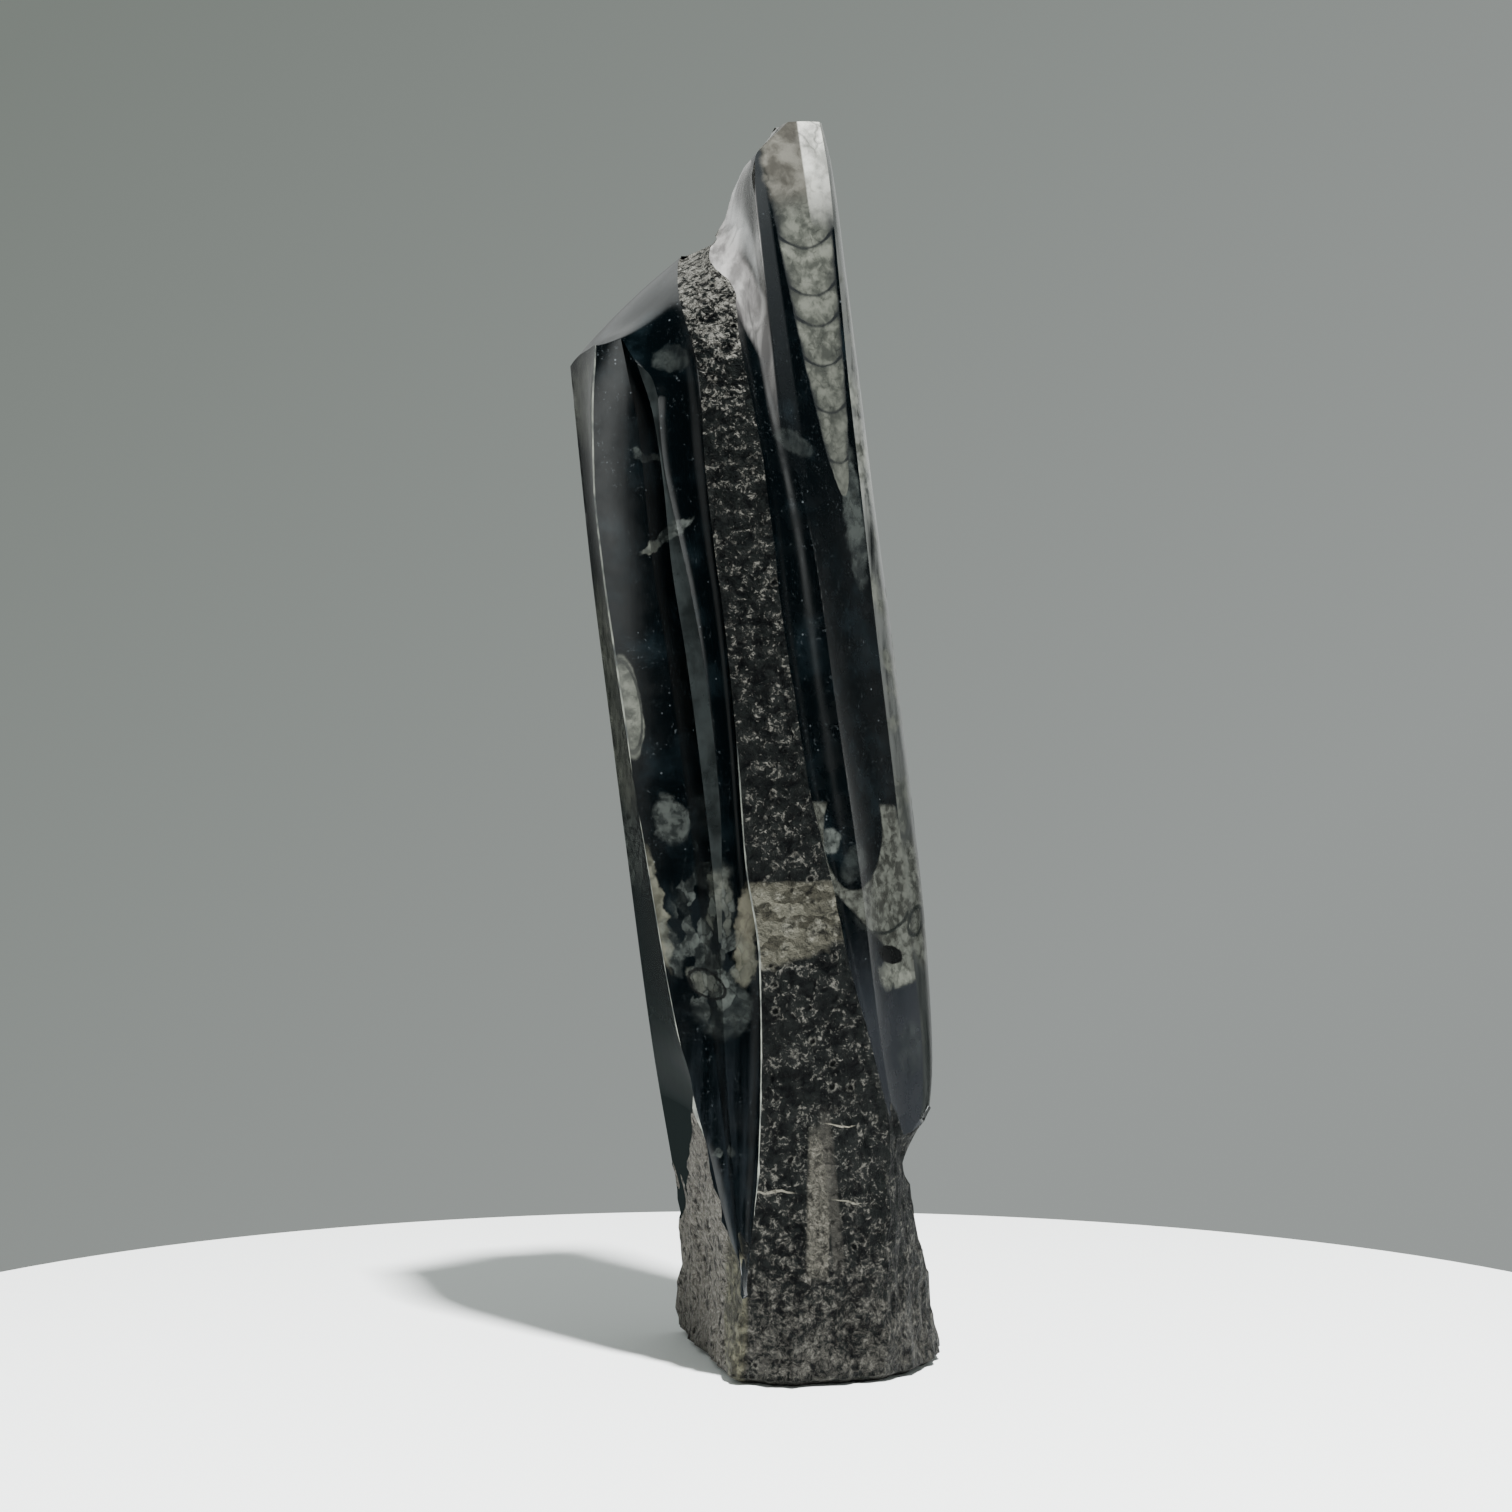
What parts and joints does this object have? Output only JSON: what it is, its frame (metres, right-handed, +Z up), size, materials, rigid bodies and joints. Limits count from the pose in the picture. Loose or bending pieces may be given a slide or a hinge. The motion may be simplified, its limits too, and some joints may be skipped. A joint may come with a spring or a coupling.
{
  "type": "orthoceras fossil",
  "caption": "Tall leaning tower of black fossil limestone with polished concave flutes, rough bands of natural skin and a rough base that stands flat.",
  "frame": {"origin": "middle of the bounding box, at the underside of the base", "axes": "+Z up along the height, -Y the front with the two wide flutes and the rough band, +X the side of the peak"},
  "size_m": [0.1276, 0.1211, 0.42],
  "materials": {
    "orthoceras_tower": "polished, with rough bands and a rough base"
  },
  "bodies": {
    "root": {"orthoceras_tower": "orthoceras_tower"}
  },
  "joints": []
}
